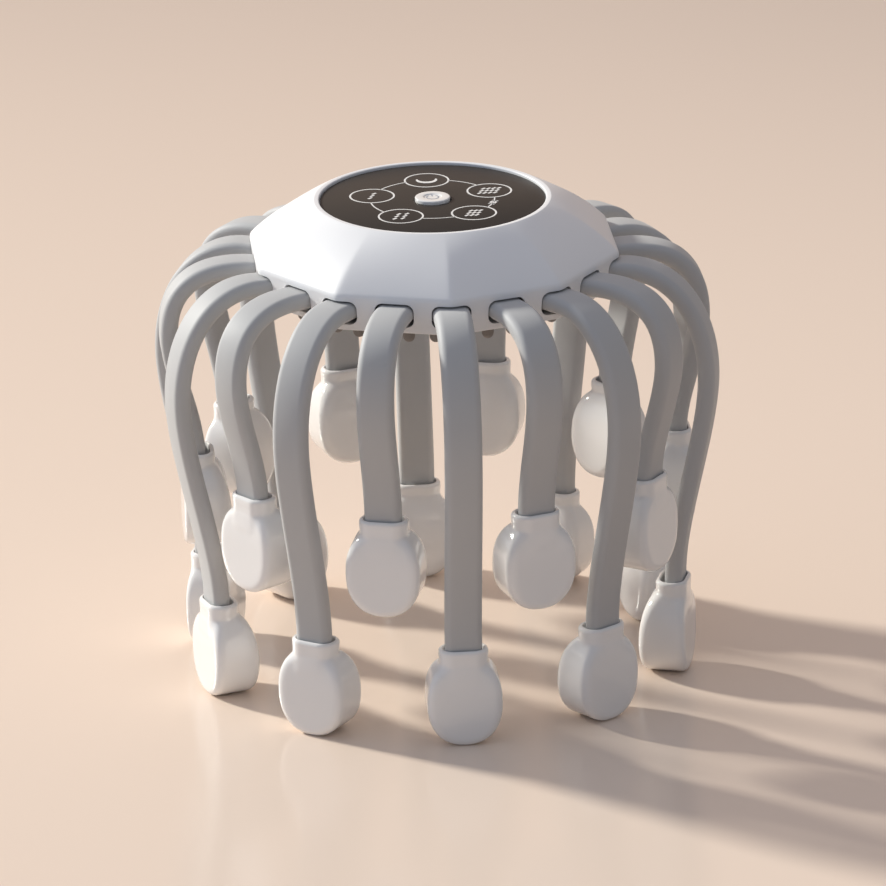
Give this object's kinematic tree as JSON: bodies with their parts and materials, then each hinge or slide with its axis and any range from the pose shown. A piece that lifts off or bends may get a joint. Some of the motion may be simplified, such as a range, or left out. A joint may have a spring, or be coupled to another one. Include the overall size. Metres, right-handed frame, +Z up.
{
  "type": "electric scalp massager",
  "caption": "Faceted hub with a round control panel and button, long and short springy silicone arms all round it, and a hard paddle head with a vibration motor on each arm.",
  "frame": {"origin": "on the floor that the long heads stand on, below the middle of the hub", "axes": "+Z up through the middle of the hub and its button; one long arm lies towards -Y and another towards +Y"},
  "size_m": [0.1848, 0.1914, 0.1624],
  "materials": {
    "white_satin_abs": "satin moulded ABS",
    "white_gloss_abs": "gloss moulded ABS",
    "grey_silicone": "matt moulded silicone",
    "dark_silicone": "matt moulded silicone",
    "dark_panel": "gloss acrylic with printed lines",
    "inner_abs": "moulded ABS",
    "board": "solder mask on glass fibre",
    "cell_foil": "laminated pouch foil",
    "lead_cover": "extruded PVC and moulded plastic",
    "switch_metal": "stamped nickel-plated steel",
    "screw_steel": "zinc-plated steel"
  },
  "bodies": {
    "hub": {"top_cover": "white_satin_abs", "bottom_cover": "inner_abs", "arm_clamp_ring": "inner_abs", "crown_pad": "dark_silicone", "control_panel": "dark_panel", "tact_switch": "switch_metal", "circuit_board": "board", "battery_cell": "cell_foil", "usb_socket": "switch_metal", "wiring_loom": "lead_cover", "cover_screw_1": "screw_steel", "cover_screw_2": "screw_steel", "cover_screw_3": "screw_steel", "cover_screw_4": "screw_steel", "cover_screw_5": "screw_steel", "board_screw_1": "screw_steel", "board_screw_2": "screw_steel"},
    "button": {"mode_button": "white_gloss_abs", "switch_plunger": "lead_cover"},
    "long_arm_1": {"arm_long_1": "grey_silicone", "head_long_1": "white_gloss_abs"},
    "short_arm_1": {"arm_short_1": "grey_silicone", "head_short_1": "white_gloss_abs"},
    "long_arm_2": {"arm_long_2": "grey_silicone", "head_long_2": "white_gloss_abs"},
    "short_arm_2": {"arm_short_2": "grey_silicone", "head_short_2": "white_gloss_abs"},
    "long_arm_3": {"arm_long_3": "grey_silicone", "head_long_3": "white_gloss_abs"},
    "short_arm_3": {"arm_short_3": "grey_silicone", "head_short_3": "white_gloss_abs"},
    "long_arm_4": {"arm_long_4": "grey_silicone", "head_long_4": "white_gloss_abs"},
    "short_arm_4": {"arm_short_4": "grey_silicone", "head_short_4": "white_gloss_abs"},
    "long_arm_5": {"arm_long_5": "grey_silicone", "head_long_5": "white_gloss_abs"},
    "short_arm_5": {"arm_short_5": "grey_silicone", "head_short_5": "white_gloss_abs"},
    "long_arm_6": {"arm_long_6": "grey_silicone", "head_long_6": "white_gloss_abs"},
    "short_arm_6": {"arm_short_6": "grey_silicone", "head_short_6": "white_gloss_abs"},
    "long_arm_7": {"arm_long_7": "grey_silicone", "head_long_7": "white_gloss_abs"},
    "short_arm_7": {"arm_short_7": "grey_silicone", "head_short_7": "white_gloss_abs"},
    "long_arm_8": {"arm_long_8": "grey_silicone", "head_long_8": "white_gloss_abs"},
    "short_arm_8": {"arm_short_8": "grey_silicone", "head_short_8": "white_gloss_abs"},
    "long_arm_9": {"arm_long_9": "grey_silicone", "head_long_9": "white_gloss_abs"},
    "short_arm_9": {"arm_short_9": "grey_silicone", "head_short_9": "white_gloss_abs"},
    "long_arm_10": {"arm_long_10": "grey_silicone", "head_long_10": "white_gloss_abs"},
    "short_arm_10": {"arm_short_10": "grey_silicone", "head_short_10": "white_gloss_abs"}
  },
  "joints": [
    {"name": "button_press", "type": "slide", "parent": "hub", "child": "button", "axis": [0, 0, -1], "range_m": [0, 0.0005], "stiffness_N_per_m": 4000},
    {"name": "long_flex_1", "type": "hinge", "parent": "hub", "child": "long_arm_1", "pos_m": [0, -0.0612, 0.1409], "axis": [-1, 0, 0], "range_deg": [-4, 14], "stiffness_Nm_per_rad": 1},
    {"name": "short_flex_1", "type": "hinge", "parent": "hub", "child": "short_arm_1", "pos_m": [0.01826, -0.05621, 0.1409], "axis": [-0.9511, -0.309, 0], "range_deg": [-4, 14], "stiffness_Nm_per_rad": 1},
    {"name": "long_flex_2", "type": "hinge", "parent": "hub", "child": "long_arm_2", "pos_m": [0.03597, -0.04951, 0.1409], "axis": [-0.809, -0.5878, 0], "range_deg": [-4, 14], "stiffness_Nm_per_rad": 1},
    {"name": "short_flex_2", "type": "hinge", "parent": "hub", "child": "short_arm_2", "pos_m": [0.04782, -0.03474, 0.1409], "axis": [-0.5878, -0.809, 0], "range_deg": [-4, 14], "stiffness_Nm_per_rad": 1},
    {"name": "long_flex_3", "type": "hinge", "parent": "hub", "child": "long_arm_3", "pos_m": [0.0582, -0.01891, 0.1409], "axis": [-0.309, -0.9511, 0], "range_deg": [-4, 14], "stiffness_Nm_per_rad": 1},
    {"name": "short_flex_3", "type": "hinge", "parent": "hub", "child": "short_arm_3", "pos_m": [0.05911, 0, 0.1409], "axis": [0, -1, 0], "range_deg": [-4, 14], "stiffness_Nm_per_rad": 1},
    {"name": "long_flex_4", "type": "hinge", "parent": "hub", "child": "long_arm_4", "pos_m": [0.0582, 0.01891, 0.1409], "axis": [0.309, -0.9511, 0], "range_deg": [-4, 14], "stiffness_Nm_per_rad": 1},
    {"name": "short_flex_4", "type": "hinge", "parent": "hub", "child": "short_arm_4", "pos_m": [0.04782, 0.03474, 0.1409], "axis": [0.5878, -0.809, 0], "range_deg": [-4, 14], "stiffness_Nm_per_rad": 1},
    {"name": "long_flex_5", "type": "hinge", "parent": "hub", "child": "long_arm_5", "pos_m": [0.03597, 0.04951, 0.1409], "axis": [0.809, -0.5878, 0], "range_deg": [-4, 14], "stiffness_Nm_per_rad": 1},
    {"name": "short_flex_5", "type": "hinge", "parent": "hub", "child": "short_arm_5", "pos_m": [0.01826, 0.05621, 0.1409], "axis": [0.9511, -0.309, 0], "range_deg": [-4, 14], "stiffness_Nm_per_rad": 1},
    {"name": "long_flex_6", "type": "hinge", "parent": "hub", "child": "long_arm_6", "pos_m": [0, 0.0612, 0.1409], "axis": [1, 0, 0], "range_deg": [-4, 14], "stiffness_Nm_per_rad": 1},
    {"name": "short_flex_6", "type": "hinge", "parent": "hub", "child": "short_arm_6", "pos_m": [-0.01826, 0.05621, 0.1409], "axis": [0.9511, 0.309, 0], "range_deg": [-4, 14], "stiffness_Nm_per_rad": 1},
    {"name": "long_flex_7", "type": "hinge", "parent": "hub", "child": "long_arm_7", "pos_m": [-0.03597, 0.04951, 0.1409], "axis": [0.809, 0.5878, 0], "range_deg": [-4, 14], "stiffness_Nm_per_rad": 1},
    {"name": "short_flex_7", "type": "hinge", "parent": "hub", "child": "short_arm_7", "pos_m": [-0.04782, 0.03474, 0.1409], "axis": [0.5878, 0.809, 0], "range_deg": [-4, 14], "stiffness_Nm_per_rad": 1},
    {"name": "long_flex_8", "type": "hinge", "parent": "hub", "child": "long_arm_8", "pos_m": [-0.0582, 0.01891, 0.1409], "axis": [0.309, 0.9511, 0], "range_deg": [-4, 14], "stiffness_Nm_per_rad": 1},
    {"name": "short_flex_8", "type": "hinge", "parent": "hub", "child": "short_arm_8", "pos_m": [-0.05911, 0, 0.1409], "axis": [0, 1, 0], "range_deg": [-4, 14], "stiffness_Nm_per_rad": 1},
    {"name": "long_flex_9", "type": "hinge", "parent": "hub", "child": "long_arm_9", "pos_m": [-0.0582, -0.01891, 0.1409], "axis": [-0.309, 0.9511, 0], "range_deg": [-4, 14], "stiffness_Nm_per_rad": 1},
    {"name": "short_flex_9", "type": "hinge", "parent": "hub", "child": "short_arm_9", "pos_m": [-0.04782, -0.03474, 0.1409], "axis": [-0.5878, 0.809, 0], "range_deg": [-4, 14], "stiffness_Nm_per_rad": 1},
    {"name": "long_flex_10", "type": "hinge", "parent": "hub", "child": "long_arm_10", "pos_m": [-0.03597, -0.04951, 0.1409], "axis": [-0.809, 0.5878, 0], "range_deg": [-4, 14], "stiffness_Nm_per_rad": 1},
    {"name": "short_flex_10", "type": "hinge", "parent": "hub", "child": "short_arm_10", "pos_m": [-0.01826, -0.05621, 0.1409], "axis": [-0.9511, 0.309, 0], "range_deg": [-4, 14], "stiffness_Nm_per_rad": 1}
  ]
}
